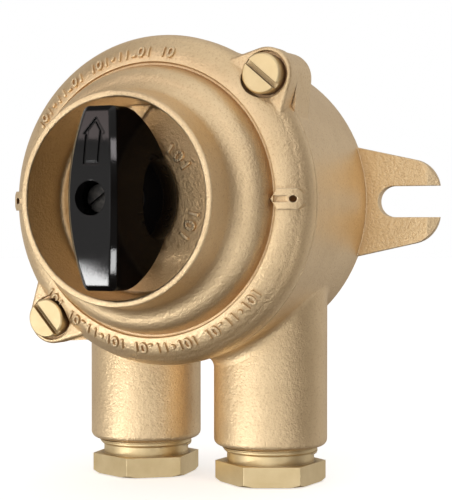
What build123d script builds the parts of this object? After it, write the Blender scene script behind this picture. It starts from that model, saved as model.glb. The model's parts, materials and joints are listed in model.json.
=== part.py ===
from build123d import *

import math
import os
from itertools import cycle

# Wall-mounted rotary switch in a cast brass housing, in millimetres.
# The origin is where the switch's axis meets the wall. +X is right and +Z is up for someone who
# faces the switch, and the wall lies at Y = 0 with the switch on its -Y side. "Depth" below is the
# distance in front of the wall, so a depth of 42 is the plane Y = -42.

# Housing
JOINT = 42.0  # depth of the joint face between housing and cover
LIP_BACK = 40.5
RIM_RADIUS = 40.4
BODY_FRONT_RADIUS = 40.0
BODY_BACK_RADIUS = 38.5
BODY_BACK_ROUND = 1.0
CAVITY_RADIUS = 35.0
CAVITY_FLOOR = 4.0

# Wall ears with open slots
EAR_END = 57.8
EAR_THICKNESS = 2.6
EAR_ROOT_HALF = 22.0  # half height where the ear's edges meet the switch's axis
EAR_TIP_HALF = 9.3
EAR_CORNER = 8.0
EAR_TIP_THICKNESS = 0.8
EAR_SLOPE = 2.9  # length of the sloping tip
SLOT_RADIUS = 4.0
SLOT_CENTRE = 45.8

# Cable glands, M24 x 1.5
GLAND_X = 18.0
GLAND_DEPTH = 17.4
BOSS_RADIUS = 14.5
BOSS_BOTTOM = -62.1
BOSS_TOP = -20.0
BOSS_ROUND = 1.7
BOSS_FILLET = 3.0
PASSAGE_RADIUS = 9.0
SEAT_RADIUS = 10.8
SEAT_TOP = -38.0
SEAT_BOTTOM = -50.0
THREAD_RADIUS = 12.0
THREAD_GAP = 0.06
NECK_RADIUS = 11.15
NECK_TOP = -63.7
HEX_TOP = -66.2
HEX_BOTTOM = -71.3
HEX_FLATS = 24.5
HEX_TURN = {"left": 37.0, "right": 25.0}
HEX_CHAMFER = 0.55
GLAND_BORE = 7.2
GLAND_MOUTH = 1.0
WASHER_THICKNESS = 1.2
CABLE_RADIUS = 6.5

# Cover lugs and screws, on a diagonal
LUG_ANGLES = (45.0, 225.0)
LUG_REACH = 41.4
LUG_RADIUS = 6.5
COVER_LUG_ROOT = (31.0, 11.5)  # reach and radius of the circle that the lug's flanks run from
HOUSING_LUG_ROOT = (27.0, 15.9)
LUG_FRONT = 47.0
LUG_GAP = 0.5
SEAM_CHAMFER = 0.35
HOUSING_LUG_BACK = 32.0
HOUSING_LUG_INSET = 0.3
SPOT_RADIUS = 5.6
SPOT_DEPTH = 45.4
SCREW_HEAD_RADIUS = 4.8
SCREW_HEAD_FRONT = 49.8
SCREW_RADIUS = 2.5
SCREW_BACK = 34.5
SCREW_SLOT_TURNS = (-40.0, -49.0)

# Cover
COLLAR_FRONT = 67.2
COLLAR_RADIUS = 25.1
COLLAR_BASE_RADIUS = 25.7
COLLAR_BASE = 60.2
COVE_RADIUS = 4.5
COVE_ANGLE = 70.0
DOME_RADIUS = 5.0
DOME_ANGLE = 60.0
GROOVE_RADIUS = 32.5
GROOVE_DEPTH = 49.4
BAND_START = (33.3, 50.1)
BAND_MIDDLE = (36.0, 49.3)
BAND_END = (38.4, 47.2)
SHOULDER_MIDDLE = (39.8, 45.3)
SHOULDER_END = 43.2
RECESS_FLOOR = 53.0
RECESS_FLOOR_RADIUS = 22.7
RECESS_MOUTH_RADIUS = 23.5
RECESS_ROUND = 1.2
RIM_ROUND = 0.5
INDEX_TIP = 19.1
INDEX_BASE = 22.4
INDEX_HALF = 2.7
INDEX_HEIGHT = 0.7

# Identification pads on the cover's band, left and right
PAD_START = 32.4
PAD_END = 39.8
PAD_OUTER = (39.2, 48.0)  # where the pad's face ends
PAD_FOOT = (38.0, 44.0)
PAD_ROOT = 41.5  # the pad starts inside the cover's wall
PAD_SIDE = 1.0
PAD_HALF = 2.4
PAD_CORNER = 1.5
PAD_RISE = 0.9
PAD_HOLE_RADIUS = 0.8
PAD_HOLE_REACH = 37.4

# Spindle and its bearing in the cover
SPINDLE_RADIUS = 4.5
SPINDLE_SQUARE = 7.0
SPINDLE_TAIL_RADIUS = 3.0
SPINDLE_TAIL_BACK = 13.0
KNOB_SQUARE = 6.4
KNOB_SHOULDER = 58.0
SPINDLE_FRONT = 66.0
RUNNING_GAP = 0.05
PRESS_GAP = 0.02
LOOSE_GAP = 0.2
SHAFT_GAP = 0.5
BUSH_RADIUS = 7.0
BUSH_BACK = 44.0
SEAL_BACK = 49.5
SEAL_FRONT = 52.0
COVER_BOSS_RADIUS = 9.5

# Knob
KNOB_BACK = 54.3
KNOB_HALF_LENGTH = 21.5
KNOB_HALF_WIDTH = 6.3
KNOB_END_HALF = 3.8
KNOB_DRAFT = 1.5
KNOB_FRONT = 77.8
KNOB_END_FRONT = 74.0
KNOB_EDGE = 1.15
KNOB_HOLE_RADIUS = 3.9
KNOB_HOLE_FLOOR = 70.6
ARROW_TIP = 18.3
ARROW_FEET = 14.5
ARROW_HALF = 2.75
ARROW_TAIL = 7.6
STEM_HALF = 2.1
ENGRAVING_WIDTH = 0.6
ENGRAVING_DEPTH = 0.45

# Switch insert
BASE_RADIUS = 25.0
BASE_BACK = 12.0
BASE_FRONT = 20.0
PILLAR_REACH = 20.0
CONTACT_RADIUS = 10.55
BRIDGE_RADIUS = 10.2
CONTACT_REACH = 24.0
TERMINAL_REACH = 20.0
DRUM_RADIUS = 9.6
DRUM_BACK = 21.0
DRUM_FRONT = 33.0
POLES = {"a": (24.0, 45.0), "b": (30.0, 135.0)}  # depth of the pole's contacts, their angle
PLATE_BACK = 34.0
PLATE_FRONT = 35.5
STAR_BACK = 36.0
STAR_FRONT = 39.0
STAR_FLATS = 14.0
STAR_CORNER_RADIUS = 9.0
STOP_REACH = 7.0
STOP_RADIUS = 0.8
STOP_GAP = 0.15
SWITCH_ANGLE = 90.0

# Joint between housing and cover
GASKET_INNER = 36.2
GASKET_OUTER = 38.4
GASKET_THICKNESS = 1.5
SPIGOT_RADIUS = 34.7
SPIGOT_LENGTH = 2.0
HOLLOW_MOUTH = 33.2
HOLLOW_STEP = 30.6
HOLLOW_TOP = 29.0
HOLLOW_DEPTH = 51.6
HOLLOW_SLOPE_BACK = 45.2
HOLLOW_SLOPE_FRONT = 48.0
HOLLOW_CORNER = 1.5
COVER_WALL = 3.0
SEAL_RING_RADIUS = 3.8
SEAL_RING_DEPTH = 1.2
SCREW_CLEARANCE = 0.2
SCREW_SLOT = 1.4
LUG_ROUND = 0.8
COVER_LUG_FILLET = 0.6
LUG_JOIN_SPREAD = 18.0  # a join's centre is as far across as up, within this
LUG_JOIN_LENGTH = 20.0
LUG_JOIN_BEHIND = 2.5  # the housing's joins start this far behind its lugs
HAIR = 0.1
HOUSING_LUG_ROUND = 1.5
HOUSING_LUG_FILLET = 1.5
PAD_GROOVE_LENGTH = 3.4
PAD_GROOVE_WIDTH = 1.5
PAD_GROOVE_REACH = 34.7
PAD_GROOVE_DEPTH = 1.0  # below the pad's crown

# Retaining pieces on the spindle
FLANGE_RADIUS = 8.6
FLANGE_BACK = 43.0
CIRCLIP_BACK = 41.2
CIRCLIP_FRONT = 42.2
CIRCLIP_RADIUS = 7.0
CIRCLIP_GROOVE_RADIUS = 3.9
CIRCLIP_GAP = 4.0

# Knob outlines
KEEL_HALF = 10.0
KEEL_MIDDLE = (60.6, 17.5)
KEEL_TOP = 69.5
KNOB_END_ROUND = 2.0
KNOB_CROWN_ROUND = 0.3
# Depth of each section of the domed hub, with its half width and half height
HUB_SECTIONS = ((54.3, 9.9, 12.3), (58.0, 9.8, 12.3), (61.0, 9.0, 11.9), (64.0, 7.4, 11.0), (66.6, 5.2, 9.5))

# Small screws
M4_RADIUS = 2.0
M4_HEAD_RADIUS = 3.5
M4_HEAD = 2.6
M3_RADIUS = 1.5
M3_HEAD_RADIUS = 2.75
M3_HEAD = 2.0
SMALL_SLOT = 1.0
KNOB_SCREW_TIP = 60.0
KNOB_SCREW_FRONT = 73.4
KNOB_SCREW_HEAD = 3.4
KNOB_SCREW_TURN = 35.0
PILLAR_RADIUS = 4.0
PILLAR_SCREW_TIP = 6.0
TERMINAL_TIP = 14.0
EARTH_REACH = 30.2
EARTH_ANGLE = 205.0
EARTH_SEAT = 8.0
EARTH_TIP = 3.5
EARTH_CLAMP_THICKNESS = 1.0

# Insert details
POST_REACH = 20.0
POST_RADIUS = 2.6
POST_SPIGOT_RADIUS = 2.0
POST_SPIGOT_BACK = 15.0
PLATE_SCREW_TIP = 28.0
PLATE_WIDTH = 20.0
PLATE_HEIGHT = 29.0
SPRING_REACH = 7.05
SPRING_THICKNESS = 0.4
SPRING_HOLD = 12.0
HOLDER_SIZE = 2.6
CONTACT_POST_REACH = 13.5
CONTACT_WIDTH = 8.0
CONTACT_POST_WIDTH = 6.0
CONTACT_FINGER_WIDTH = 4.0
CONTACT_THICKNESS = 1.6
BRIDGE_RING_INNER = 5.2
BRIDGE_RING_OUTER = 6.8
BRIDGE_WIDTH = 4.0
BRIDGE_THICKNESS = 1.6


def facing(depth, x=0.0, z=0.0, turn=0.0):
    """Plane square to the switch's axis, with its normal away from the wall."""
    across = (math.cos(math.radians(turn)), 0, math.sin(math.radians(turn)))
    return Plane(origin=(x, -depth, z), x_dir=across, z_dir=(0, -1, 0))


def polar(reach, angle):
    """Place across and up, from a distance and an angle about the switch's axis."""
    return reach * math.cos(math.radians(angle)), reach * math.sin(math.radians(angle))


def disc(radius, back, front, x=0.0, z=0.0, mode=Mode.ADD):
    """Round block or hole square to the wall."""
    with BuildSketch(facing(back, x, z)) as outline:
        Circle(radius)
    extrude(outline.sketch, amount=front - back, mode=mode)


def block(size_x, size_z, back, front, x=0.0, z=0.0, turn=0.0, mode=Mode.ADD):
    """Rectangular block or pocket square to the wall."""
    with BuildSketch(facing(back, x, z, turn)) as outline:
        Rectangle(size_x, size_z)
    extrude(outline.sketch, amount=front - back, mode=mode)


def turned(points, mode=Mode.ADD):
    """Solid turned about the switch's axis, from (radius, depth) points."""
    with BuildSketch(Plane.XY) as profile:
        with BuildLine():
            Polyline([(radius, -depth) for radius, depth in points], close=True)
        make_face()
    revolve(profile.sketch, axis=Axis.Y, mode=mode)


def upright(radius, low, high, x, mode=Mode.ADD):
    """Vertical cylinder on the axis of one cable gland."""
    with BuildSketch(Plane(origin=(x, -GLAND_DEPTH, low), z_dir=(0, 0, 1))) as outline:
        Circle(radius)
    extrude(outline.sketch, amount=high - low, mode=mode)


def spindle_section(back, front, gap=0.0, mode=Mode.ADD):
    """Square with turned corners, which carries the drum and the star wheel."""
    with BuildSketch(facing(back)) as outline:
        Rectangle(SPINDLE_SQUARE + 2 * gap, SPINDLE_SQUARE + 2 * gap)
        Circle(SPINDLE_RADIUS + gap, mode=Mode.INTERSECT)
    extrude(outline.sketch, amount=front - back, mode=mode)


def lug(angle, back, front, root, inset=0.0):
    """Tapering lug for a cover screw, from the rim out to a round end."""
    root_reach, root_radius = root
    with BuildSketch(facing(back, turn=angle)) as outline:
        with Locations((LUG_REACH, 0)):
            Circle(LUG_RADIUS - inset)
        with Locations((root_reach, 0)):
            Circle(root_radius - inset)
        make_hull()
    extrude(outline.sketch, amount=front - back)


def lug_joins(back, front):
    """Edges where the lugs meet the round body, between two depths."""
    return edges().filter_by(
        lambda edge: -front < edge.center().Y < -back
        and edge.geom_type in (GeomType.BSPLINE, GeomType.CIRCLE)
        and abs(abs(edge.center().X) - abs(edge.center().Z)) < LUG_JOIN_SPREAD
        and math.hypot(edge.center().X, edge.center().Z) < RIM_RADIUS
        and edge.length < LUG_JOIN_LENGTH
    )


def cheese_heads(places, tip, seat, front, radius, head_radius, slot, turns=(0.0,)):
    """Slotted screws square to the wall, one solid at each (x, z) place, each slot turned in turn."""
    for x, z in places:
        disc(radius, tip, seat, x, z)
        disc(head_radius, seat, front, x, z)
    chamfer(edges().filter_by(GeomType.CIRCLE).group_by(Axis.Y)[0], slot / 4)
    for (x, z), turn in zip(places, cycle(turns)):
        block(3 * head_radius, slot, front - slot, front, x, z, turn, Mode.SUBTRACT)


def save(builder, name):
    """Label a finished piece and write it."""
    builder.part.label = name
    export_step(builder.part, f"parts/{name}.step")


os.makedirs("parts", exist_ok=True)
lug_places = [polar(LUG_REACH, angle) for angle in LUG_ANGLES]
pillar_places = [(0, PILLAR_REACH), (0, -PILLAR_REACH)]
post_places = [(POST_REACH, 0), (-POST_REACH, 0)]
terminal_places = [polar(TERMINAL_REACH, angle) for angle in (45, 135, 225, 315)]
earth_place = polar(EARTH_REACH, EARTH_ANGLE)

# The lugs' outer edges are rounded before they join the housing and the cover
with BuildPart() as housing_lugs:
    for angle in LUG_ANGLES:
        lug(angle, HOUSING_LUG_BACK, JOINT, HOUSING_LUG_ROOT, HOUSING_LUG_INSET)
    fillet(faces().group_by(Axis.Y)[-1].edges(), HOUSING_LUG_ROUND)

with BuildPart() as cover_lugs:
    for angle in LUG_ANGLES:
        lug(angle, JOINT + LUG_GAP, LUG_FRONT, COVER_LUG_ROOT)
    fillet(faces().group_by(Axis.Y)[0].edges(), LUG_ROUND)

# One plate carries both ears; their tips slope and their slots are open outwards
with BuildPart() as ears:
    with BuildSketch(facing(0)) as ear_outline:
        with BuildLine():
            Polyline(
                (0, -EAR_ROOT_HALF),
                (EAR_END, -EAR_TIP_HALF),
                (EAR_END, EAR_TIP_HALF),
                (0, EAR_ROOT_HALF),
                (-EAR_END, EAR_TIP_HALF),
                (-EAR_END, -EAR_TIP_HALF),
                close=True,
            )
        make_face()
        fillet(vertices().filter_by(lambda corner: abs(corner.X) > SLOT_CENTRE), EAR_CORNER)
    extrude(ear_outline.sketch, amount=EAR_THICKNESS)
    with BuildSketch(Plane.XY) as ear_section:
        with BuildLine():
            Polyline(
                (-EAR_END, 0),
                (EAR_END, 0),
                (EAR_END, -EAR_TIP_THICKNESS),
                (EAR_END - EAR_SLOPE, -EAR_THICKNESS),
                (EAR_SLOPE - EAR_END, -EAR_THICKNESS),
                (-EAR_END, -EAR_TIP_THICKNESS),
                close=True,
            )
        make_face()
    extrude(ear_section.sketch, amount=EAR_ROOT_HALF, both=True, mode=Mode.INTERSECT)
    for side in (-1, 1):
        disc(SLOT_RADIUS, 0, EAR_THICKNESS, side * SLOT_CENTRE, 0, Mode.SUBTRACT)
        slot_length = EAR_END - SLOT_CENTRE + 1
        slot_middle = side * (SLOT_CENTRE + slot_length / 2)
        block(slot_length, 2 * SLOT_RADIUS, 0, EAR_THICKNESS, slot_middle, mode=Mode.SUBTRACT)

# Housing: cup and gland bosses with the fillets between them, ears and lugs, then cavity and bores
with BuildPart() as housing:
    turned(
        [
            (0, 0),
            (BODY_BACK_RADIUS - BODY_BACK_ROUND, 0),
            (BODY_BACK_RADIUS, BODY_BACK_ROUND),
            (BODY_FRONT_RADIUS, LIP_BACK),
            (0, LIP_BACK),
        ]
    )
    for side in (-1, 1):
        upright(BOSS_RADIUS, BOSS_BOTTOM, BOSS_TOP, side * GLAND_X)
    boss_roots = edges().filter_by(GeomType.BSPLINE).filter_by(lambda edge: edge.center().Z < BOSS_TOP)
    fillet(boss_roots, BOSS_FILLET)
    fillet(edges().filter_by(GeomType.CIRCLE).group_by(Axis.Z)[0], BOSS_ROUND)
    turned(
        [
            (0, LIP_BACK),
            (RIM_RADIUS - SEAM_CHAMFER, LIP_BACK),
            (RIM_RADIUS, LIP_BACK + SEAM_CHAMFER),
            (RIM_RADIUS, JOINT - SEAM_CHAMFER),
            (RIM_RADIUS - SEAM_CHAMFER, JOINT),
            (0, JOINT),
        ]
    )
    add(housing_lugs.part)
    fillet(lug_joins(HOUSING_LUG_BACK - LUG_JOIN_BEHIND, LIP_BACK - HAIR), HOUSING_LUG_FILLET)
    add(ears.part)
    disc(CAVITY_RADIUS, CAVITY_FLOOR, JOINT, mode=Mode.SUBTRACT)
    turned(
        [
            (GASKET_INNER, JOINT - GASKET_THICKNESS),
            (GASKET_OUTER, JOINT - GASKET_THICKNESS),
            (GASKET_OUTER, JOINT),
            (GASKET_INNER, JOINT),
        ],
        Mode.SUBTRACT,
    )
    for x, z in pillar_places:
        disc(PILLAR_RADIUS, CAVITY_FLOOR, BASE_BACK, x, z)
        disc(M4_RADIUS + THREAD_GAP, PILLAR_SCREW_TIP - 1, BASE_BACK, x, z, Mode.SUBTRACT)
    disc(PILLAR_RADIUS, CAVITY_FLOOR, EARTH_SEAT, *earth_place)
    disc(M4_RADIUS + THREAD_GAP, EARTH_TIP - 0.5, EARTH_SEAT, *earth_place, Mode.SUBTRACT)
    for x, z in lug_places:
        disc(SCREW_RADIUS + THREAD_GAP, SCREW_BACK - 1, JOINT, x, z, Mode.SUBTRACT)
    for side in (-1, 1):
        x = side * GLAND_X
        upright(THREAD_RADIUS + THREAD_GAP, BOSS_BOTTOM, SEAT_BOTTOM, x, Mode.SUBTRACT)
        upright(SEAT_RADIUS, SEAT_BOTTOM, SEAT_TOP, x, Mode.SUBTRACT)
        upright(PASSAGE_RADIUS, SEAT_TOP, BOSS_TOP, x, Mode.SUBTRACT)
save(housing, "housing")

# Cover: turned outside with its collar, then lugs, and everything hollow last
with BuildPart() as cover:
    with BuildSketch(Plane.XY) as shape:
        with BuildLine():
            Line((0, -JOINT), (0, -COLLAR_FRONT))
            Line((0, -COLLAR_FRONT), (COLLAR_RADIUS, -COLLAR_FRONT))
            Line((COLLAR_RADIUS, -COLLAR_FRONT), (COLLAR_BASE_RADIUS, -COLLAR_BASE))
            cove = JernArc((COLLAR_BASE_RADIUS, -COLLAR_BASE), (0, 1), COVE_RADIUS, -COVE_ANGLE)
            dome = JernArc(cove @ 1, cove % 1, DOME_RADIUS, DOME_ANGLE)
            Line(dome @ 1, (GROOVE_RADIUS, -GROOVE_DEPTH))
            Line((GROOVE_RADIUS, -GROOVE_DEPTH), (BAND_START[0] - 0.25, -GROOVE_DEPTH))
            Line((BAND_START[0] - 0.25, -GROOVE_DEPTH), (BAND_START[0], -BAND_START[1]))
            ThreePointArc(
                (BAND_START[0], -BAND_START[1]),
                (BAND_MIDDLE[0], -BAND_MIDDLE[1]),
                (BAND_END[0], -BAND_END[1]),
            )
            ThreePointArc(
                (BAND_END[0], -BAND_END[1]),
                (SHOULDER_MIDDLE[0], -SHOULDER_MIDDLE[1]),
                (RIM_RADIUS, -SHOULDER_END),
            )
            Polyline(
                (RIM_RADIUS, -SHOULDER_END),
                (RIM_RADIUS, -JOINT - SEAM_CHAMFER),
                (RIM_RADIUS - SEAM_CHAMFER, -JOINT),
                (0, -JOINT),
            )
        make_face()
    revolve(axis=Axis.Y)
    add(cover_lugs.part)
    fillet(lug_joins(JOINT + LUG_GAP + HAIR, LUG_FRONT + HAIR), COVER_LUG_FILLET)
    for x, z in lug_places:
        disc(SPOT_RADIUS, SPOT_DEPTH, COLLAR_FRONT, x, z, Mode.SUBTRACT)
        disc(SEAL_RING_RADIUS, SPOT_DEPTH - SEAL_RING_DEPTH, SPOT_DEPTH, x, z, Mode.SUBTRACT)
        disc(SCREW_RADIUS + SCREW_CLEARANCE, JOINT, SPOT_DEPTH, x, z, Mode.SUBTRACT)
    turned(
        [
            (0, RECESS_FLOOR),
            (RECESS_FLOOR_RADIUS, RECESS_FLOOR),
            (RECESS_MOUTH_RADIUS, COLLAR_FRONT),
            (0, COLLAR_FRONT),
        ],
        Mode.SUBTRACT,
    )
    fillet(edges().filter_by(GeomType.CIRCLE).group_by(Axis.Y)[0], RIM_ROUND)
    floor_rim = edges().filter_by(GeomType.CIRCLE).filter_by_position(
        Axis.Y, -RECESS_FLOOR - 0.01, -RECESS_FLOOR + 0.01
    )
    fillet(floor_rim, RECESS_ROUND)
    turned(
        [
            (COVER_BOSS_RADIUS, JOINT),
            (HOLLOW_MOUTH, JOINT),
            (HOLLOW_MOUTH, HOLLOW_SLOPE_BACK),
            (HOLLOW_STEP, HOLLOW_SLOPE_FRONT),
            (HOLLOW_TOP, HOLLOW_DEPTH),
            (COLLAR_RADIUS, HOLLOW_DEPTH),
            (COLLAR_RADIUS - HOLLOW_CORNER, RECESS_FLOOR - COVER_WALL),
            (COVER_BOSS_RADIUS, RECESS_FLOOR - COVER_WALL),
        ],
        Mode.SUBTRACT,
    )
    disc(COVER_BOSS_RADIUS, JOINT, BUSH_BACK, mode=Mode.SUBTRACT)
    disc(BUSH_RADIUS, BUSH_BACK, SEAL_FRONT, mode=Mode.SUBTRACT)
    disc(SPINDLE_RADIUS + SHAFT_GAP, SEAL_FRONT, RECESS_FLOOR, mode=Mode.SUBTRACT)
    turned(
        [
            (HOLLOW_MOUTH, JOINT),
            (SPIGOT_RADIUS, JOINT),
            (SPIGOT_RADIUS, JOINT - SPIGOT_LENGTH),
            (HOLLOW_MOUTH, JOINT - SPIGOT_LENGTH),
        ]
    )
    with BuildSketch(facing(RECESS_FLOOR)) as index_mark:
        with BuildLine():
            Polyline((0, INDEX_TIP), (INDEX_HALF, INDEX_BASE), (-INDEX_HALF, INDEX_BASE), close=True)
        make_face()
    extrude(index_mark.sketch, amount=INDEX_HEIGHT)

# The identification pads follow the band at a constant height
with BuildPart() as pads:
    with BuildSketch(Plane.XY) as pad_profile:
        with BuildLine():
            Line((PAD_START, -PAD_ROOT), (PAD_START, -BAND_START[1] - PAD_RISE))
            ThreePointArc(
                (PAD_START, -BAND_START[1] - PAD_RISE),
                (BAND_MIDDLE[0] + 0.2, -BAND_MIDDLE[1] - PAD_RISE),
                (PAD_OUTER[0], -PAD_OUTER[1]),
            )
            Polyline(
                (PAD_OUTER[0], -PAD_OUTER[1]),
                (PAD_END, PAD_SIDE - PAD_OUTER[1]),
                (PAD_FOOT[0], -PAD_FOOT[1]),
                (PAD_START, -PAD_ROOT),
            )
        make_face()
    revolve(pad_profile.sketch, axis=Axis.Y)
    with BuildSketch(facing(JOINT)) as pad_outlines:
        for side in (-1, 1):
            with BuildLine():
                Polyline(
                    (side * PAD_START, 0),
                    (side * (PAD_START + PAD_CORNER), PAD_HALF),
                    (side * (PAD_END - PAD_CORNER), PAD_HALF),
                    (side * PAD_END, PAD_HALF / 3),
                    (side * PAD_END, -PAD_HALF / 3),
                    (side * (PAD_END - PAD_CORNER), -PAD_HALF),
                    (side * (PAD_START + PAD_CORNER), -PAD_HALF),
                    close=True,
                )
            make_face()
    extrude(pad_outlines.sketch, amount=15, mode=Mode.INTERSECT)

with cover:
    add(pads.part)
    for side in (-1, 1):
        disc(PAD_HOLE_RADIUS, LUG_FRONT - 1.5, COLLAR_FRONT, side * PAD_HOLE_REACH, 0, Mode.SUBTRACT)
        block(
            PAD_GROOVE_LENGTH,
            PAD_GROOVE_WIDTH,
            BAND_START[1] + PAD_RISE - PAD_GROOVE_DEPTH,
            COLLAR_FRONT,
            side * PAD_GROOVE_REACH,
            mode=Mode.SUBTRACT,
        )
save(cover, "cover")

with BuildPart() as cover_gasket:
    turned(
        [
            (GASKET_INNER, JOINT - GASKET_THICKNESS),
            (GASKET_OUTER, JOINT - GASKET_THICKNESS),
            (GASKET_OUTER, JOINT),
            (GASKET_INNER, JOINT),
        ]
    )
save(cover_gasket, "cover_gasket")

with BuildPart() as cover_screws:
    cheese_heads(
        lug_places,
        SCREW_BACK,
        SPOT_DEPTH,
        SCREW_HEAD_FRONT,
        SCREW_RADIUS,
        SCREW_HEAD_RADIUS,
        SCREW_SLOT,
        SCREW_SLOT_TURNS,
    )
save(cover_screws, "cover_screws")

with BuildPart() as screw_seals:
    for x, z in lug_places:
        disc(SEAL_RING_RADIUS, SPOT_DEPTH - SEAL_RING_DEPTH, SPOT_DEPTH, x, z)
        disc(SCREW_RADIUS, SPOT_DEPTH - SEAL_RING_DEPTH, SPOT_DEPTH, x, z, Mode.SUBTRACT)
save(screw_seals, "screw_seals")

# Cable glands: screw, washer and rubber seal on each side
for name, side in (("left", -1), ("right", 1)):
    x = side * GLAND_X
    with BuildPart() as gland_screw:
        with BuildSketch(Plane(origin=(x, -GLAND_DEPTH, HEX_BOTTOM), z_dir=(0, 0, 1))) as hexagon:
            RegularPolygon(HEX_FLATS / 2, 6, major_radius=False, rotation=HEX_TURN[name])
        extrude(hexagon.sketch, amount=HEX_TOP - HEX_BOTTOM)
        corner_radius = HEX_FLATS / math.sqrt(3)
        corner_plane = Plane(origin=(x, -GLAND_DEPTH, 0), x_dir=(1, 0, 0), z_dir=(0, -1, 0))
        with BuildSketch(corner_plane) as turned_corners:
            with BuildLine():
                Polyline(
                    (0, HEX_BOTTOM),
                    (corner_radius - HEX_CHAMFER * 2, HEX_BOTTOM),
                    (corner_radius + 0.2, HEX_BOTTOM + HEX_CHAMFER * 1.3),
                    (corner_radius + 0.2, HEX_TOP),
                    (0, HEX_TOP),
                    close=True,
                )
            make_face()
        revolve(turned_corners.sketch, axis=Axis((x, -GLAND_DEPTH, 0), (0, 0, 1)), mode=Mode.INTERSECT)
        upright(NECK_RADIUS, HEX_TOP, NECK_TOP, x)
        upright(THREAD_RADIUS, NECK_TOP, SEAT_BOTTOM - WASHER_THICKNESS, x)
        thread_ends = edges().filter_by(GeomType.CIRCLE).filter_by(
            lambda edge: edge.radius > NECK_RADIUS + 0.1 and edge.center().Z > HEX_TOP + 0.1
        )
        chamfer(thread_ends, 0.5)
        upright(GLAND_BORE, HEX_BOTTOM, SEAT_BOTTOM - WASHER_THICKNESS, x, Mode.SUBTRACT)
        mouth = edges().filter_by(GeomType.CIRCLE).group_by(Axis.Z)[0]
        chamfer(mouth.sort_by(SortBy.RADIUS)[0], GLAND_MOUTH)
    save(gland_screw, f"gland_screw_{name}")

    with BuildPart() as gland_washer:
        upright(SEAT_RADIUS - 0.1, SEAT_BOTTOM - WASHER_THICKNESS, SEAT_BOTTOM, x)
        upright(GLAND_BORE, SEAT_BOTTOM - WASHER_THICKNESS, SEAT_BOTTOM, x, Mode.SUBTRACT)
    save(gland_washer, f"gland_washer_{name}")

    with BuildPart() as gland_seal:
        upright(SEAT_RADIUS - 0.05, SEAT_BOTTOM, SEAT_TOP, x)
        upright(CABLE_RADIUS, SEAT_BOTTOM, SEAT_TOP, x, Mode.SUBTRACT)
    save(gland_seal, f"gland_seal_{name}")

# Spindle and its bearing in the cover
with BuildPart() as spindle:
    disc(SPINDLE_TAIL_RADIUS, SPINDLE_TAIL_BACK, DRUM_BACK)
    spindle_section(DRUM_BACK, STAR_FRONT + 0.5)
    disc(SPINDLE_RADIUS, STAR_FRONT + 0.5, CIRCLIP_BACK)
    disc(CIRCLIP_GROOVE_RADIUS, CIRCLIP_BACK, CIRCLIP_FRONT)
    disc(SPINDLE_RADIUS, CIRCLIP_FRONT, KNOB_SHOULDER)
    block(KNOB_SQUARE, KNOB_SQUARE, KNOB_SHOULDER, SPINDLE_FRONT)
    disc(M4_RADIUS + THREAD_GAP, KNOB_SCREW_TIP - 1, SPINDLE_FRONT, mode=Mode.SUBTRACT)
save(spindle, "spindle")

with BuildPart() as spindle_circlip:
    disc(CIRCLIP_RADIUS, CIRCLIP_BACK, CIRCLIP_FRONT)
    disc(CIRCLIP_GROOVE_RADIUS, CIRCLIP_BACK, CIRCLIP_FRONT, mode=Mode.SUBTRACT)
    block(CIRCLIP_GAP, CIRCLIP_RADIUS, CIRCLIP_BACK, CIRCLIP_FRONT, 0, -CIRCLIP_RADIUS, mode=Mode.SUBTRACT)
save(spindle_circlip, "spindle_circlip")

with BuildPart() as spindle_washer:
    disc(FLANGE_RADIUS, CIRCLIP_FRONT, FLANGE_BACK - RUNNING_GAP)
    disc(SPINDLE_RADIUS + RUNNING_GAP, CIRCLIP_FRONT, FLANGE_BACK, mode=Mode.SUBTRACT)
save(spindle_washer, "spindle_washer")

with BuildPart() as spindle_bush:
    disc(FLANGE_RADIUS, FLANGE_BACK, BUSH_BACK)
    disc(BUSH_RADIUS, BUSH_BACK, SEAL_BACK)
    disc(SPINDLE_RADIUS + RUNNING_GAP, FLANGE_BACK, SEAL_BACK, mode=Mode.SUBTRACT)
save(spindle_bush, "spindle_bush")

with BuildPart() as spindle_seal:
    disc(BUSH_RADIUS, SEAL_BACK, SEAL_FRONT)
    disc(SPINDLE_RADIUS + RUNNING_GAP, SEAL_BACK, SEAL_FRONT, mode=Mode.SUBTRACT)
save(spindle_seal, "spindle_seal")

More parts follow.
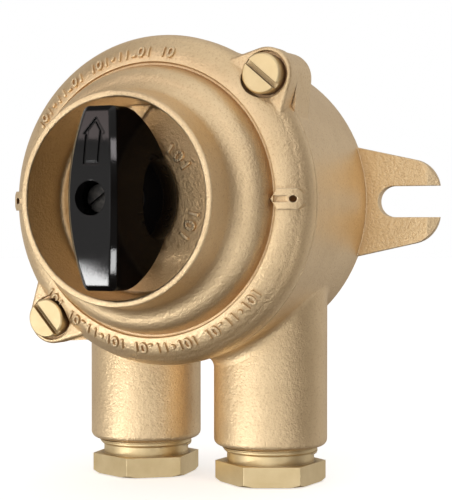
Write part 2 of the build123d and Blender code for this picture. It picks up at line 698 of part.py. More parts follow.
# Knob: arched bar on a domed hub, with an engraved arrow
with BuildPart() as knob:
    with BuildSketch(Plane.YZ) as side_view:
        with BuildLine():
            Line((-KNOB_BACK, -KEEL_HALF), (-KNOB_BACK, KEEL_HALF))
            for end in (-1, 1):
                ThreePointArc(
                    (-KNOB_BACK, end * KEEL_HALF),
                    (-KEEL_MIDDLE[0], end * KEEL_MIDDLE[1]),
                    (-KEEL_TOP, end * KNOB_HALF_LENGTH),
                )
                Line((-KEEL_TOP, end * KNOB_HALF_LENGTH), (-KNOB_END_FRONT, end * KNOB_HALF_LENGTH))
            ThreePointArc(
                (-KNOB_END_FRONT, -KNOB_HALF_LENGTH), (-KNOB_FRONT, 0), (-KNOB_END_FRONT, KNOB_HALF_LENGTH)
            )
        make_face()
    extrude(side_view.sketch, amount=2 * KNOB_HALF_WIDTH, both=True)
    half_lengths = (-KNOB_HALF_LENGTH, KNOB_HALF_LENGTH)
    flare = (KNOB_FRONT - KNOB_BACK) * math.tan(math.radians(KNOB_DRAFT))
    with BuildSketch(facing(KNOB_BACK)) as plan_view:
        with BuildLine():
            for side in (-1, 1):
                ThreePointArc(
                    (side * (KNOB_END_HALF + flare), half_lengths[0]),
                    (side * (KNOB_HALF_WIDTH + flare), 0),
                    (side * (KNOB_END_HALF + flare), half_lengths[1]),
                )
            for half_length in half_lengths:
                Line((-KNOB_END_HALF - flare, half_length), (KNOB_END_HALF + flare, half_length))
        make_face()
        fillet(vertices(), KNOB_END_ROUND)
    extrude(plan_view.sketch, amount=KNOB_FRONT - KNOB_BACK + 1, taper=KNOB_DRAFT, mode=Mode.INTERSECT)
    chamfer(faces().sort_by(Axis.Y)[0].edges(), KNOB_EDGE)
    fillet(faces().sort_by(Axis.Y)[0].edges(), KNOB_CROWN_ROUND)
    hub_outlines = []
    for depth, half_width, half_height in HUB_SECTIONS:
        with BuildSketch(facing(depth)) as hub_outline:
            Ellipse(half_width, half_height)
        hub_outlines.append(hub_outline.sketch)
    loft(hub_outlines)
    disc(KNOB_HOLE_RADIUS, KNOB_HOLE_FLOOR, KNOB_FRONT, mode=Mode.SUBTRACT)
    disc(M4_RADIUS + LOOSE_GAP, SPINDLE_FRONT, KNOB_HOLE_FLOOR, mode=Mode.SUBTRACT)
    block(KNOB_SQUARE, KNOB_SQUARE, KNOB_SHOULDER, SPINDLE_FRONT + LOOSE_GAP, mode=Mode.SUBTRACT)
    disc(SPINDLE_RADIUS + PRESS_GAP, KNOB_BACK, KNOB_SHOULDER, mode=Mode.SUBTRACT)

# The arrow's outline, cut to an even depth below the arched crown
with BuildPart() as engraving:
    with BuildSketch(facing(KNOB_END_FRONT - 2)) as arrow:
        with BuildLine():
            Polyline(
                (0, ARROW_TIP),
                (ARROW_HALF, ARROW_FEET),
                (STEM_HALF, ARROW_FEET),
                (STEM_HALF, ARROW_TAIL),
                (-STEM_HALF, ARROW_TAIL),
                (-STEM_HALF, ARROW_FEET),
                (-ARROW_HALF, ARROW_FEET),
                close=True,
            )
        make_face()
        offset(amount=-ENGRAVING_WIDTH, kind=Kind.INTERSECTION, mode=Mode.SUBTRACT)
    extrude(arrow.sketch, amount=10)
    with BuildSketch(Plane.YZ) as under_crown:
        with BuildLine():
            ThreePointArc(
                (-KNOB_END_FRONT + ENGRAVING_DEPTH, -KNOB_HALF_LENGTH),
                (-KNOB_FRONT + ENGRAVING_DEPTH, 0),
                (-KNOB_END_FRONT + ENGRAVING_DEPTH, KNOB_HALF_LENGTH),
            )
            Polyline(
                (-KNOB_END_FRONT + ENGRAVING_DEPTH, KNOB_HALF_LENGTH),
                (-KNOB_BACK, KNOB_HALF_LENGTH),
                (-KNOB_BACK, -KNOB_HALF_LENGTH),
                (-KNOB_END_FRONT + ENGRAVING_DEPTH, -KNOB_HALF_LENGTH),
            )
        make_face()
    extrude(under_crown.sketch, amount=2 * KNOB_HALF_WIDTH, both=True, mode=Mode.SUBTRACT)

with knob:
    add(engraving.part, mode=Mode.SUBTRACT)
save(knob, "knob")

with BuildPart() as knob_screw:
    cheese_heads(
        [(0, 0)],
        KNOB_SCREW_TIP,
        KNOB_HOLE_FLOOR,
        KNOB_SCREW_FRONT,
        M4_RADIUS,
        KNOB_SCREW_HEAD,
        SMALL_SLOT,
        (KNOB_SCREW_TURN,),
    )
save(knob_screw, "knob_screw")

# Switch insert, fixed to two pillars on the housing's floor
with BuildPart() as insert_base:
    disc(BASE_RADIUS, BASE_BACK, BASE_FRONT)
    disc(SPINDLE_TAIL_RADIUS + RUNNING_GAP, BASE_BACK, BASE_FRONT, mode=Mode.SUBTRACT)
    for x, z in pillar_places:
        disc(M4_RADIUS + 0.2, BASE_BACK, BASE_FRONT, x, z, Mode.SUBTRACT)
    for x, z in post_places:
        disc(POST_SPIGOT_RADIUS, POST_SPIGOT_BACK, BASE_FRONT, x, z, Mode.SUBTRACT)
    for x, z in terminal_places:
        disc(M4_RADIUS + THREAD_GAP, TERMINAL_TIP, BASE_FRONT, x, z, Mode.SUBTRACT)
save(insert_base, "insert_base")

with BuildPart() as insert_screws:
    cheese_heads(
        pillar_places,
        PILLAR_SCREW_TIP,
        BASE_FRONT,
        BASE_FRONT + M4_HEAD,
        M4_RADIUS,
        M4_HEAD_RADIUS,
        SMALL_SLOT,
    )
save(insert_screws, "insert_screws")

# Each pole has two fixed contacts, opposite each other
for pole, (level, pole_angle) in POLES.items():
    for name, angle in (("top", pole_angle), ("bottom", pole_angle + 180)):
        foot_middle = (CONTACT_POST_REACH + CONTACT_REACH) / 2
        finger_middle = (CONTACT_RADIUS + CONTACT_POST_REACH) / 2
        with BuildPart() as contact:
            block(
                CONTACT_REACH - CONTACT_POST_REACH,
                CONTACT_WIDTH,
                BASE_FRONT,
                BASE_FRONT + CONTACT_THICKNESS,
                *polar(foot_middle, angle),
                turn=angle,
            )
            block(
                CONTACT_THICKNESS,
                CONTACT_POST_WIDTH,
                BASE_FRONT,
                level + CONTACT_THICKNESS / 2,
                *polar(CONTACT_POST_REACH + CONTACT_THICKNESS / 2, angle),
                turn=angle,
            )
            block(
                CONTACT_POST_REACH - CONTACT_RADIUS,
                CONTACT_FINGER_WIDTH,
                level - CONTACT_THICKNESS / 2,
                level + CONTACT_THICKNESS / 2,
                *polar(finger_middle, angle),
                turn=angle,
            )
            disc(
                M4_RADIUS + 0.1,
                BASE_FRONT,
                BASE_FRONT + CONTACT_THICKNESS,
                *polar(TERMINAL_REACH, angle),
                Mode.SUBTRACT,
            )
        save(contact, f"contact_{pole}_{name}")

with BuildPart() as terminal_screws:
    cheese_heads(
        terminal_places,
        TERMINAL_TIP,
        BASE_FRONT + CONTACT_THICKNESS,
        BASE_FRONT + CONTACT_THICKNESS + M4_HEAD,
        M4_RADIUS,
        M4_HEAD_RADIUS,
        SMALL_SLOT,
    )
save(terminal_screws, "terminal_screws")

# The drum is moulded round two bridges; each is a ring with two tips that reach the contacts
with BuildPart() as rotor_drum:
    disc(DRUM_RADIUS, DRUM_BACK, DRUM_FRONT)
    spindle_section(DRUM_BACK, DRUM_FRONT, mode=Mode.SUBTRACT)
    for pole, (level, pole_angle) in POLES.items():
        bridge_plane = facing(level - BRIDGE_THICKNESS / 2, turn=pole_angle + SWITCH_ANGLE)
        with BuildSketch(bridge_plane) as flat_bridge:
            Rectangle(2 * BRIDGE_RADIUS, BRIDGE_WIDTH)
            Circle(BRIDGE_RING_OUTER)
            Circle(BRIDGE_RING_INNER, mode=Mode.SUBTRACT)
        extrude(flat_bridge.sketch, amount=BRIDGE_THICKNESS, mode=Mode.SUBTRACT)
save(rotor_drum, "rotor_drum")

for pole, (level, pole_angle) in POLES.items():
    with BuildPart() as bridge:
        bridge_plane = facing(level - BRIDGE_THICKNESS / 2, turn=pole_angle + SWITCH_ANGLE)
        with BuildSketch(bridge_plane) as flat_bridge:
            Rectangle(2 * BRIDGE_RADIUS, BRIDGE_WIDTH)
            Circle(BRIDGE_RING_OUTER)
            Circle(BRIDGE_RING_INNER, mode=Mode.SUBTRACT)
        extrude(flat_bridge.sketch, amount=BRIDGE_THICKNESS)
    save(bridge, f"bridge_{pole}")

# Front plate with its posts; it carries the detent springs and the stops
with BuildPart() as front_plate:
    block(2 * POST_REACH + 8, 12, PLATE_BACK, PLATE_FRONT)
    block(PLATE_WIDTH, PLATE_HEIGHT, PLATE_BACK, PLATE_FRONT)
    fillet(edges().filter_by(Axis.Y), 2)
    for x in (-SPRING_REACH - SPRING_THICKNESS / 2, SPRING_REACH + SPRING_THICKNESS / 2):
        for z in (-SPRING_HOLD, SPRING_HOLD):
            block(HOLDER_SIZE, HOLDER_SIZE, PLATE_FRONT, STAR_FRONT, x, z)
            block(SPRING_THICKNESS, HOLDER_SIZE, PLATE_FRONT, STAR_FRONT, x, z, mode=Mode.SUBTRACT)
    disc(SPINDLE_RADIUS + RUNNING_GAP, PLATE_BACK, PLATE_FRONT, mode=Mode.SUBTRACT)
    for x, z in post_places:
        disc(M3_RADIUS + 0.1, PLATE_BACK, PLATE_FRONT, x, z, Mode.SUBTRACT)
    with BuildSketch(facing(PLATE_BACK)) as stop_window:
        with BuildLine(mode=Mode.PRIVATE) as stop_travel:
            CenterArc((0, 0), STOP_REACH, 45 - SWITCH_ANGLE, SWITCH_ANGLE)
        SlotArc(stop_travel.edges()[0], 2 * (STOP_RADIUS + STOP_GAP))
    extrude(stop_window.sketch, amount=PLATE_FRONT - PLATE_BACK, mode=Mode.SUBTRACT)
save(front_plate, "front_plate")

with BuildPart() as plate_posts:
    for x, z in post_places:
        disc(POST_RADIUS, BASE_FRONT, PLATE_BACK, x, z)
        disc(POST_SPIGOT_RADIUS, POST_SPIGOT_BACK, BASE_FRONT, x, z)
        disc(M3_RADIUS + THREAD_GAP, PLATE_SCREW_TIP - 0.5, PLATE_BACK, x, z, Mode.SUBTRACT)
save(plate_posts, "plate_posts")

with BuildPart() as plate_screws:
    cheese_heads(
        post_places,
        PLATE_SCREW_TIP,
        PLATE_FRONT,
        PLATE_FRONT + M3_HEAD,
        M3_RADIUS,
        M3_HEAD_RADIUS,
        SMALL_SLOT,
    )
save(plate_screws, "plate_screws")

with BuildPart() as star_wheel:
    with BuildSketch(facing(STAR_BACK)) as star:
        Rectangle(STAR_FLATS, STAR_FLATS)
        Circle(STAR_CORNER_RADIUS, mode=Mode.INTERSECT)
    extrude(star.sketch, amount=STAR_FRONT - STAR_BACK)
    spindle_section(STAR_BACK, STAR_FRONT, mode=Mode.SUBTRACT)
    disc(STOP_RADIUS, PLATE_BACK + 0.2, STAR_BACK, *polar(STOP_REACH, 45))
save(star_wheel, "star_wheel")

for name, side in (("left", -1), ("right", 1)):
    with BuildPart() as detent_spring:
        block(
            SPRING_THICKNESS,
            2 * SPRING_HOLD + HOLDER_SIZE,
            PLATE_FRONT + 0.5,
            STAR_FRONT - 0.1,
            side * (SPRING_REACH + SPRING_THICKNESS / 2),
        )
    save(detent_spring, f"detent_spring_{name}")

# Earth terminal on the housing's floor
with BuildPart() as earth_clamp:
    disc(M4_HEAD_RADIUS, EARTH_SEAT, EARTH_SEAT + EARTH_CLAMP_THICKNESS, *earth_place)
    disc(M4_RADIUS + LOOSE_GAP, EARTH_SEAT, EARTH_SEAT + EARTH_CLAMP_THICKNESS, *earth_place, Mode.SUBTRACT)
save(earth_clamp, "earth_clamp")

with BuildPart() as earth_screw:
    cheese_heads(
        [earth_place],
        EARTH_TIP,
        EARTH_SEAT + EARTH_CLAMP_THICKNESS,
        EARTH_SEAT + EARTH_CLAMP_THICKNESS + M4_HEAD,
        M4_RADIUS,
        M4_HEAD_RADIUS,
        SMALL_SLOT,
    )
save(earth_screw, "earth_screw")
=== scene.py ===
import json
import math

import bmesh
import bpy
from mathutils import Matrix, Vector
from mathutils.bvhtree import BVHTree


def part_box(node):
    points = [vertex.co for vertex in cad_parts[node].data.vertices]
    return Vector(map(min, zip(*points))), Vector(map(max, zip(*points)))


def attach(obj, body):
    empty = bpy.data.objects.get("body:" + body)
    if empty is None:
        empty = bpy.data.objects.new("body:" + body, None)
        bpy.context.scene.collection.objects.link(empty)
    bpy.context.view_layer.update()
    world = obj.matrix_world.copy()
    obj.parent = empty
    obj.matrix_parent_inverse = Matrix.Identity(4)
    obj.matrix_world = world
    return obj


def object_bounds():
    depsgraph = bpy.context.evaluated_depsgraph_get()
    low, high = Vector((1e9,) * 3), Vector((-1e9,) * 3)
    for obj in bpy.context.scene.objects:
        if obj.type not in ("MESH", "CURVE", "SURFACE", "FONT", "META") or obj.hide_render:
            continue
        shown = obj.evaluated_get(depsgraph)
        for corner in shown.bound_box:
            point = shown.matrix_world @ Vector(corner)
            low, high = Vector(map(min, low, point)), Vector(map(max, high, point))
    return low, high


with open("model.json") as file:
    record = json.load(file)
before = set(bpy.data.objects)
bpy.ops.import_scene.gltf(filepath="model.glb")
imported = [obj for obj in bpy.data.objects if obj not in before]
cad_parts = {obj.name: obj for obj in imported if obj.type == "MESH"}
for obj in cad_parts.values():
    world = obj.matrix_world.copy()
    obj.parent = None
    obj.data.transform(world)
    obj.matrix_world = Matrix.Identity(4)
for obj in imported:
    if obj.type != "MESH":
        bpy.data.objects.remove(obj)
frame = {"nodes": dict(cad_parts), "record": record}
cad_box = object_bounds()
nodes = frame["nodes"]
MM = 0.001

# Viewpoint: a little to the right of the switch's axis, level with its lower half
VIEW_AZIMUTH = 25.0
VIEW_ELEVATION = 0.94
VIEW_DISTANCE = 0.3696
VIEW_TARGET = Vector((0.0113, -0.030, -0.01226))
LENS = 106.5
SENSOR = 36.0
CLIP_START = 0.01

# Raised marks that the cover's casting carries on its band; arcs are in degrees
MARK_REACH = 35.7 * MM
MARK_HALF = 1.25 * MM
MARK_STROKE = 0.34 * MM
MARK_RISE = 0.6 * MM
MARK_PITCH = 2.0 * MM
MARK_ARCS = ((76.0, 148.0), (214.0, 322.0))

# Raised marks on the recess floor, on the right of the knob's hub
FLOOR_MARK_REACH = 14.1 * MM
FLOOR_MARK_HALF = 1.5 * MM
FLOOR_MARK_STROKE = 0.42 * MM
FLOOR_MARK_RISE = 0.55 * MM
FLOOR_MARK_PITCH = 2.9 * MM
FLOOR_MARK_ARCS = ((14.0, 58.0), (-58.0, -14.0))

# Shape of one mark: parts of its half height, its stroke or its rise
DOT_WIDTH = 1.8
MARK_WIDTH = 0.55
RING_HEIGHT = 0.8
LOW_BAR_DROP = 0.6
BAR_CORNER = 0.6
BAR_OVERLAP = 0.6
PAD_SECTIONS = ((1.0, -0.5), (1.0, 0.55), (0.72, 1.0))
RAY_START = 10 * MM

# Thread that shows between a gland's boss and its hexagon
THREAD_PITCH = 1.5 * MM
THREAD_RADIUS = 12.0 * MM
THREAD_TURNS = 1.75
THREAD_STEPS = 72
NECK_TOP_ABOVE_HEX = 7.7 * MM
CREST_HEIGHT = 0.28 * MM
CREST_HALF = 0.42 * MM
CREST_TIP_HALF = 0.08 * MM
CREST_ROOT = 0.1 * MM
CREST_FADE = 6.0

# Space just around the recess floor, where the casting's colour is painted darker than elsewhere: painted
# shade for the shadow that falls in the deep recess
RECESS_RADIUS = 23.6 * MM
RECESS_FRONT = -53.3 * MM
RECESS_BACK = -51.5 * MM

# Floor under the switch
FLOOR_RADIUS = 2.5
FLOOR_GAP = 0.3 * MM
FLOOR_SIDES = 96
FLOOR_GLOW = 0.55

# Studio light: directions in degrees, radiance as seen in a mirror
SWITCH_CENTRE = Vector((0, -0.04, -0.01))
LAMP_DISTANCE = 0.8
WORLD_BASE = (0.10, 0.072, 0.048)
# azimuth, elevation, spread, radiance
WORLD_LOBES = (
    (-26, 0, 42, 0.95),
    (14, 0, 34, 1.15),
    (-10, -50, 45, 0.35),
    (-100, 0, 60, 0.45),
    (0, 75, 50, 0.55),
    (45, 45, 45, 0.6),
    (70, -15, 30, 0.2),
    (180, 50, 60, 0.45),
    (145, -10, 50, 0.5),
)
# name, azimuth, elevation, width and height, radiance, colour
SOFTBOXES = (
    ("low_left", -36.5, -28, (0.09, 0.15), 35, (1, 1, 1)),
    ("high_left", -29, 32, (0.30, 0.20), 3.0, (1.0, 0.82, 0.80)),
    ("right_high", 60, 26, (0.06, 0.14), 9, (1.0, 0.93, 0.95)),
    ("right_low", 60, -30, (0.05, 0.16), 24, (1, 1, 1)),
)


# ---------------------------------------------------------------- materials

class Graph:
    """A material's node tree, with short calls for the nodes used here."""

    def __init__(self, name):
        self.material = bpy.data.materials.new(name)
        self.material.use_nodes = True
        self.tree = self.material.node_tree
        self.tree.nodes.clear()
        output = self.add("OutputMaterial")
        self.shader = self.add("BsdfPrincipled")
        self.link(self.shader.outputs["BSDF"], output.inputs["Surface"])
        self.place = self.add("TexCoord").outputs["Object"]

    def add(self, kind):
        return self.tree.nodes.new("ShaderNode" + kind)

    def link(self, source, target):
        self.tree.links.new(source, target)

    def put(self, value, socket):
        """Link an output to a socket, or set the socket's constant."""
        if hasattr(value, "is_linked"):
            self.link(value, socket)
        elif socket.type == "RGBA":
            socket.default_value = as_colour(value)
        else:
            socket.default_value = value

    def set(self, **values):
        """Set or feed the main shader's inputs; an underscore stands for a space."""
        for name, value in values.items():
            self.put(value, self.shader.inputs[name.replace("_", " ")])

    def noise(self, size, detail, rough=0.55, stretch=(1, 1, 1)):
        """Noise whose features are about size metres across."""
        mapping = self.add("Mapping")
        mapping.inputs["Scale"].default_value = stretch
        self.link(self.place, mapping.inputs["Vector"])
        node = self.add("TexNoise")
        node.inputs["Scale"].default_value = 1 / size
        node.inputs["Detail"].default_value = detail
        node.inputs["Roughness"].default_value = rough
        self.link(mapping.outputs["Vector"], node.inputs["Vector"])
        return node.outputs["Fac"]

    def ramp(self, source, low, high, start=0.0, end=1.0):
        """Colour or grey ramp between two values."""
        node = self.add("ValToRGB")
        for element, position, value in zip(node.color_ramp.elements, (start, end), (low, high)):
            element.position = position
            element.color = as_colour(value)
        self.link(source, node.inputs["Fac"])
        return node.outputs["Color"]

    def mix(self, factor, first, second):
        node = self.add("Mix")
        node.data_type = "RGBA"
        for value, socket in ((factor, node.inputs[0]), (first, node.inputs[6]), (second, node.inputs[7])):
            self.put(value, socket)
        return node.outputs[2]

    def calc(self, operation, first, second=0.0):
        node = self.add("Math")
        node.operation = operation
        self.put(first, node.inputs[0])
        self.put(second, node.inputs[1])
        return node.outputs[0]

    def bump(self, height, distance, normal=None):
        node = self.add("Bump")
        node.inputs["Strength"].default_value = 1.0
        node.inputs["Distance"].default_value = distance
        self.link(height, node.inputs["Height"])
        if normal is not None:
            self.link(normal, node.inputs["Normal"])
        return node.outputs["Normal"]

    def soft_edges(self, radius):
        """Normal that rounds every edge by about radius metres."""
        node = self.add("Bevel")
        node.samples = 6
        node.inputs["Radius"].default_value = radius
        return node.outputs["Normal"]

    def edge_wear(self, radius):
        """Grey that rises from 0 on flat ground towards 1 along edges."""
        node = self.add("VectorMath")
        node.operation = "DOT_PRODUCT"
        self.link(self.soft_edges(radius), node.inputs[0])
        self.link(self.add("NewGeometry").outputs["Normal"], node.inputs[1])
        return self.calc("SUBTRACT", 1.0, node.outputs["Value"])

    def parts(self, vector):
        """X, Y and Z of a vector."""
        node = self.add("SeparateXYZ")
        self.link(vector, node.inputs[0])
        return node.outputs["X"], node.outputs["Y"], node.outputs["Z"]

    def recess(self, radius, front, back):
        """1 in a round space about the Y axis, between a front and a back plane; 0 outside it."""
        x, y, z = self.parts(self.place)
        squares = self.calc("ADD", self.calc("MULTIPLY", x, x), self.calc("MULTIPLY", z, z))
        within = self.calc("LESS_THAN", self.calc("POWER", squares, 0.5), radius)
        between = self.calc("MULTIPLY", self.calc("GREATER_THAN", y, front), self.calc("LESS_THAN", y, back))
        return self.calc("MULTIPLY", within, between)

    def along_axis(self, start):
        """1 where the surface faces forwards or backwards, 0 where it faces sideways, up or down."""
        _, y, _ = self.parts(self.add("TexCoord").outputs["Normal"])
        return self.calc("GREATER_THAN", self.calc("ABSOLUTE", y), start)

    def crevice(self, distance):
        """Grey that falls from 1 in the open to 0 deep in corners and hollows."""
        node = self.add("AmbientOcclusion")
        node.samples = 6
        node.inputs["Distance"].default_value = distance
        return node.outputs["AO"]


def as_colour(value):
    """Colour with full alpha, from a grey or from three parts."""
    if isinstance(value, (int, float)):
        return (value, value, value, 1)
    return (*value, 1)


def cast_brass():
    """Shot-blasted sand casting: satin brass with a fine bright grain and a coarser sand skin."""
    g = Graph("cast_brass")
    cloud = g.noise(14 * MM, 3)
    grain = g.noise(0.55 * MM, 3, 0.7)
    sand = g.noise(1.2 * MM, 2, 0.5)
    tone = g.ramp(cloud, (0.80, 0.61, 0.365), (0.90, 0.705, 0.44), 0.3, 0.7)
    speckled = g.mix(g.ramp(grain, 0.0, 1.0, 0.28, 0.46), (0.70, 0.51, 0.30), tone)
    # Painted shade: the brass colour darkens towards corners and hollows, where shade falls
    open_ground = g.ramp(g.crevice(5 * MM), 0.0, 1.0, 0.1, 0.8)
    shaded = g.mix(open_ground, (0.58, 0.40, 0.23), speckled)
    # Painted shade: darker brass around the recess floor, standing in for the shadow that falls there
    deep = g.ramp(g.recess(RECESS_RADIUS, RECESS_FRONT, RECESS_BACK), 0.0, 0.65)
    shaded = g.mix(deep, shaded, (0.52, 0.34, 0.17))
    edges = g.ramp(g.edge_wear(0.6 * MM), 0.0, 0.6, 0.02, 0.2)
    height = g.calc("ADD", grain, g.calc("MULTIPLY", sand, 0.7))
    g.set(
        Metallic=1.0,
        Base_Color=g.mix(edges, shaded, (0.95, 0.80, 0.56)),
        Roughness=g.ramp(grain, 0.48, 0.34, 0.3, 0.7),
        Normal=g.bump(height, 0.17 * MM, g.soft_edges(0.4 * MM)),
    )
    return g.material


def machined_brass():
    """Turned and milled brass: fine streaks, bright edges, and painted shade that darkens slots and thread
    roots.
    """
    g = Graph("machined_brass")
    cloud = g.noise(6 * MM, 3)
    streak = g.noise(0.6 * MM, 2, 0.5, (1, 1, 6))
    tone = g.ramp(cloud, (0.76, 0.60, 0.33), (0.86, 0.70, 0.42), 0.3, 0.7)
    # Painted shade: the colour turns near black in slots, thread roots and other hollows, where shade falls
    open_ground = g.ramp(g.crevice(2 * MM), 0.0, 1.0, 0.25, 0.8)
    shaded = g.mix(open_ground, (0.16, 0.085, 0.035), tone)
    edges = g.ramp(g.edge_wear(0.4 * MM), 0.0, 0.6, 0.02, 0.2)
    g.set(
        Metallic=1.0,
        Base_Color=g.mix(edges, shaded, (0.95, 0.82, 0.56)),
        Roughness=g.ramp(streak, 0.38, 0.50, 0.3, 0.7),
        Normal=g.bump(streak, 0.03 * MM, g.soft_edges(0.25 * MM)),
    )
    return g.material


def black_thermoset():
    """Glossy moulded black; its front shines more than its flanks."""
    g = Graph("black_thermoset")
    haze = g.noise(4 * MM, 4)
    fine = g.noise(0.4 * MM, 2)
    g.set(
        IOR=1.5,
        Base_Color=g.ramp(haze, (0.001, 0.001, 0.0012), (0.002, 0.0018, 0.002)),
        Roughness=g.ramp(haze, 0.05, 0.09, 0.3, 0.7),
        Specular_IOR_Level=g.ramp(g.along_axis(0.6), 0.03, 0.27),
        Normal=g.bump(fine, 0.005 * MM, g.soft_edges(0.5 * MM)),
    )
    return g.material


def plain_grain(name, low, high, rough, metallic=0.0, size=2 * MM):
    """Moulded or rolled material with a slight cloud and grain."""
    g = Graph(name)
    fine = g.noise(size / 8, 2)
    g.set(
        Metallic=metallic,
        Base_Color=g.ramp(g.noise(size, 4), low, high, 0.3, 0.7),
        Roughness=g.ramp(fine, *rough, 0.3, 0.7),
        Normal=g.bump(fine, 0.02 * MM),
    )
    return g.material


finishes = {
    "cast_brass": cast_brass(),
    "machined_brass": machined_brass(),
    "black_thermoset": black_thermoset(),
    "bakelite": plain_grain("bakelite", (0.05, 0.022, 0.012), (0.09, 0.04, 0.022), (0.3, 0.45)),
    "seal_rubber": plain_grain("seal_rubber", (0.012, 0.012, 0.012), (0.025, 0.024, 0.023), (0.6, 0.8)),
    "steel": plain_grain("steel", (0.42, 0.42, 0.43), (0.58, 0.58, 0.58), (0.28, 0.42), 1.0, 1 * MM),
    "blackened_steel": plain_grain(
        "blackened_steel", (0.03, 0.03, 0.03), (0.07, 0.065, 0.06), (0.3, 0.4), 1.0, 1 * MM
    ),
}
for entry in frame["record"]["subparts"]:
    node = nodes[entry["node"]]
    node.data.materials.clear()
    node.data.materials.append(finishes[entry["material_slot"]])


# ---------------------------------------------------------------- cast and cut detail

def surface_of(node):
    """Search tree of a CAD node's surface, in the row frame."""
    obj = nodes[node]
    points = [obj.matrix_world @ vertex.co for vertex in obj.data.vertices]
    return BVHTree.FromPolygons(points, [face.vertices[:] for face in obj.data.polygons])


cover_surface = surface_of("cover")


def on_cover(reach, angle):
    """Point and outward normal of the cover's front surface at a polar place."""
    start = Vector((reach * math.cos(angle), cad_box[0].y - RAY_START, reach * math.sin(angle)))
    point, normal, _, _ = cover_surface.ray_cast(start, Vector((0, 1, 0)))
    return point, normal


def raised(bm, outline, reach, angle, rise):
    """Low pad with a sloping side that follows the cover; outline is (along the arc, outward) in metres."""
    count = len(outline)
    centre = Vector((sum(a for a, _ in outline) / count, sum(b for _, b in outline) / count))
    rings = []
    for spread, lift in PAD_SECTIONS:
        ring = []
        for a, b in outline:
            place = centre + spread * (Vector((a, b)) - centre)
            point, normal = on_cover(reach + place.y, angle - place.x / reach)
            ring.append(bm.verts.new(point + lift * rise * normal))
        rings.append(ring)
    for low, high in zip(rings, rings[1:]):
        for i in range(count):
            bm.faces.new((low[i], low[(i + 1) % count], high[(i + 1) % count], high[i]))
    point, normal = on_cover(reach + centre.y, angle - centre.x / reach)
    peak = bm.verts.new(point + rise * normal)
    top = rings[-1]
    for i in range(count):
        bm.faces.new((top[i], top[(i + 1) % count], peak))


def bar(half_a, half_b, at_a=0.0, at_b=0.0, turn=0.0):
    """Outline of a bar with cut corners, centred at (at_a, at_b)."""
    cut = BAR_CORNER * min(half_a, half_b)
    corners = []
    for sign_a, sign_b in ((1, 1), (-1, 1), (-1, -1), (1, -1)):
        pair = [(sign_a * half_a, sign_b * (half_b - cut)), (sign_a * (half_a - cut), sign_b * half_b)]
        corners += pair if sign_a * sign_b > 0 else pair[::-1]
    cos, sin = math.cos(turn), math.sin(turn)
    return [(at_a + a * cos - b * sin, at_b + a * sin + b * cos) for a, b in corners]


def ring_bars(half_a, half_b, stroke, count=10):
    """Outlines of short bars that make up an oval ring."""
    outlines = []
    for i in range(count):
        t = math.tau * i / count
        a, b = half_a * math.cos(t), half_b * math.sin(t)
        turn = math.atan2(half_b * math.cos(t), -half_a * math.sin(t))
        length = math.hypot(half_a * math.sin(t), half_b * math.cos(t)) * math.pi / count
        outlines.append(bar(length + BAR_OVERLAP * stroke, stroke, a, b, turn))
    return outlines


def finish_piece(name, bm, slot, smooth):
    """Turn built geometry into a piece that rides on the fixed body."""
    bmesh.ops.recalc_face_normals(bm, faces=bm.faces)
    mesh = bpy.data.meshes.new(name)
    bm.to_mesh(mesh)
    bm.free()
    for face in mesh.polygons:
        face.use_smooth = smooth
    mesh.materials.append(finishes[slot])
    piece = bpy.data.objects.new(name, mesh)
    bpy.context.scene.collection.objects.link(piece)
    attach(piece, "body")


def mark_order(half, stroke):
    """Repeating order of plain casting marks: bars, rings, dots and a gap."""
    dot = [bar(DOT_WIDTH * stroke, DOT_WIDTH * stroke)]
    upright = [bar(stroke, half)]
    low_bar = [bar(MARK_WIDTH * half, stroke, 0, -LOW_BAR_DROP * half)]
    tall_ring = ring_bars(MARK_WIDTH * half, RING_HEIGHT * half, stroke)
    gap = []
    return upright, tall_ring, upright, dot, upright, upright, low_bar, tall_ring, upright, gap


def add_marks(name, arcs, reach, half, stroke, rise, pitch):
    """Marks set one after another along arcs of the cover, clockwise from each arc's end."""
    order = mark_order(half, stroke)
    bm = bmesh.new()
    for start, end in arcs:
        for i in range(int(math.radians(end - start) * reach / pitch)):
            angle = math.radians(end) - i * pitch / reach
            for outline in order[i % len(order)]:
                raised(bm, outline, reach, angle, rise)
    finish_piece(name, bm, "cast_brass", smooth=False)


def add_thread_crest(side):
    """Helical crest of the gland screw's thread, where it leaves the boss."""
    low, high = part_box(f"gland_screw_{side}")
    centre = (low + high) / 2
    count = int(THREAD_TURNS * THREAD_STEPS)
    bm = bmesh.new()
    previous = None
    for i in range(count + 1):
        t = math.tau * i / THREAD_STEPS
        z = low.z + NECK_TOP_ABOVE_HEX + THREAD_PITCH * i / THREAD_STEPS
        tip = CREST_HEIGHT * min(1.0, CREST_FADE * i / count, CREST_FADE * (count - i) / count)
        section = (
            (-CREST_ROOT, -CREST_HALF),
            (tip, -CREST_TIP_HALF),
            (tip, CREST_TIP_HALF),
            (-CREST_ROOT, CREST_HALF),
        )
        ring = []
        for reach, lift in section:
            radius = THREAD_RADIUS + reach
            place = (centre.x + radius * math.cos(t), centre.y + radius * math.sin(t), z + lift)
            ring.append(bm.verts.new(place))
        if previous:
            for j in range(4):
                bm.faces.new((previous[j], previous[(j + 1) % 4], ring[(j + 1) % 4], ring[j]))
        else:
            bm.faces.new(ring)
        previous = ring
    bm.faces.new(previous[::-1])
    finish_piece(f"gland_thread_{side}", bm, "machined_brass", smooth=True)


add_marks("cover_cast_marks", MARK_ARCS, MARK_REACH, MARK_HALF, MARK_STROKE, MARK_RISE, MARK_PITCH)
add_marks(
    "recess_marks", FLOOR_MARK_ARCS, FLOOR_MARK_REACH, FLOOR_MARK_HALF, FLOOR_MARK_STROKE,
    FLOOR_MARK_RISE, FLOOR_MARK_PITCH,
)
for gland_side in ("left", "right"):
    add_thread_crest(gland_side)


# ---------------------------------------------------------------- camera, light, floor

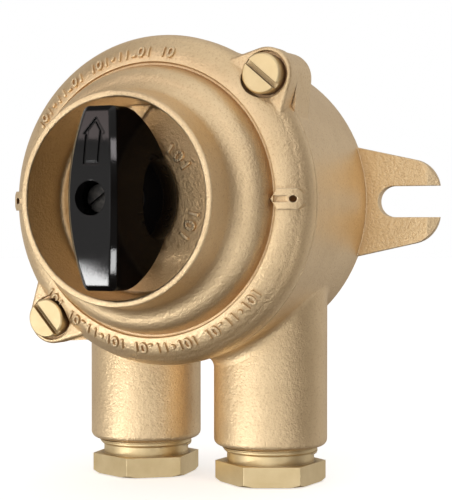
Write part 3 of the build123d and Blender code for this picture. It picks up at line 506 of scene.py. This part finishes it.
def heading(azimuth, elevation):
    """Unit vector; azimuth is measured from the switch's front towards its right-hand side."""
    az, el = math.radians(azimuth), math.radians(elevation)
    return Vector((math.sin(az) * math.cos(el), -math.cos(az) * math.cos(el), math.sin(el)))


def add_camera():
    back = heading(VIEW_AZIMUTH, VIEW_ELEVATION)
    data = bpy.data.cameras.new("camera")
    data.sensor_width = SENSOR
    data.lens = LENS
    data.clip_start = CLIP_START
    camera = bpy.data.objects.new("camera", data)
    bpy.context.scene.collection.objects.link(camera)
    camera.location = VIEW_TARGET + VIEW_DISTANCE * back
    camera.rotation_euler = (-back).to_track_quat("-Z", "Y").to_euler()
    bpy.context.scene.camera = camera


def add_softbox(name, azimuth, elevation, size, radiance, colour):
    """Rectangular lamp that faces the switch."""
    data = bpy.data.lights.new(name, "AREA")
    data.shape = "RECTANGLE"
    data.size, data.size_y = size
    data.energy = math.pi * size[0] * size[1] * radiance
    data.color = colour
    lamp = bpy.data.objects.new(name, data)
    bpy.context.scene.collection.objects.link(lamp)
    lamp.location = SWITCH_CENTRE + LAMP_DISTANCE * heading(azimuth, elevation)
    lamp.rotation_euler = (SWITCH_CENTRE - lamp.location).to_track_quat("-Z", "Y").to_euler()
    lamp.visible_camera = False


def add_stage():
    """Pale floor disc; it lets lamps below its level through, as a light table does."""
    mesh = bpy.data.meshes.new("floor")
    bm = bmesh.new()
    bmesh.ops.create_circle(bm, cap_ends=True, segments=FLOOR_SIDES, radius=FLOOR_RADIUS)
    bm.to_mesh(mesh)
    bm.free()
    floor = bpy.data.objects.new("floor", mesh)
    floor.location.z = cad_box[0].z - FLOOR_GAP
    bpy.context.scene.collection.objects.link(floor)
    floor.visible_shadow = False
    floor.visible_glossy = False
    g = Graph("floor")
    g.set(
        Roughness=0.9,
        Emission_Color=(1, 1, 1),
        Emission_Strength=FLOOR_GLOW,
        Base_Color=g.ramp(g.noise(50 * MM, 2), 0.90, 0.93),
    )
    mesh.materials.append(g.material)


def lobe_sum(tree):
    """Sum of the soft lobes, as the strength of the light from each direction."""
    direction = tree.nodes.new("ShaderNodeTexCoord").outputs["Generated"]
    total = None
    for azimuth, elevation, spread, radiance in WORLD_LOBES:
        dot = tree.nodes.new("ShaderNodeVectorMath")
        dot.operation = "DOT_PRODUCT"
        dot.inputs[1].default_value = heading(azimuth, elevation)
        tree.links.new(direction, dot.inputs[0])
        soft = tree.nodes.new("ShaderNodeMapRange")
        soft.interpolation_type = "SMOOTHSTEP"
        soft.inputs["From Min"].default_value = math.cos(math.radians(spread))
        soft.inputs["From Max"].default_value = 1.0
        soft.inputs["To Max"].default_value = radiance
        tree.links.new(dot.outputs["Value"], soft.inputs["Value"])
        if total is None:
            total = soft.outputs["Result"]
            continue
        both = tree.nodes.new("ShaderNodeMath")
        tree.links.new(total, both.inputs[0])
        tree.links.new(soft.outputs["Result"], both.inputs[1])
        total = both.outputs[0]
    return total


def set_world():
    """Studio surroundings: a warm base plus soft lobes of light; the background itself is white."""
    world = bpy.data.worlds.new("studio")
    world.use_nodes = True
    tree = world.node_tree
    tree.nodes.clear()

    def background(colour):
        node = tree.nodes.new("ShaderNodeBackground")
        node.inputs["Color"].default_value = as_colour(colour)
        return node

    glow = background((1, 1, 1))
    tree.links.new(lobe_sum(tree), glow.inputs["Strength"])
    lit = tree.nodes.new("ShaderNodeAddShader")
    tree.links.new(glow.outputs[0], lit.inputs[0])
    tree.links.new(background(WORLD_BASE).outputs[0], lit.inputs[1])
    seen = tree.nodes.new("ShaderNodeMixShader")
    tree.links.new(tree.nodes.new("ShaderNodeLightPath").outputs["Is Camera Ray"], seen.inputs[0])
    tree.links.new(lit.outputs[0], seen.inputs[1])
    tree.links.new(background((1, 1, 1)).outputs[0], seen.inputs[2])
    output = tree.nodes.new("ShaderNodeOutputWorld")
    tree.links.new(seen.outputs[0], output.inputs["Surface"])
    bpy.context.scene.world = world


add_camera()
add_stage()
set_world()
for softbox in SOFTBOXES:
    add_softbox(*softbox)
bpy.context.scene.view_settings.view_transform = "Standard"
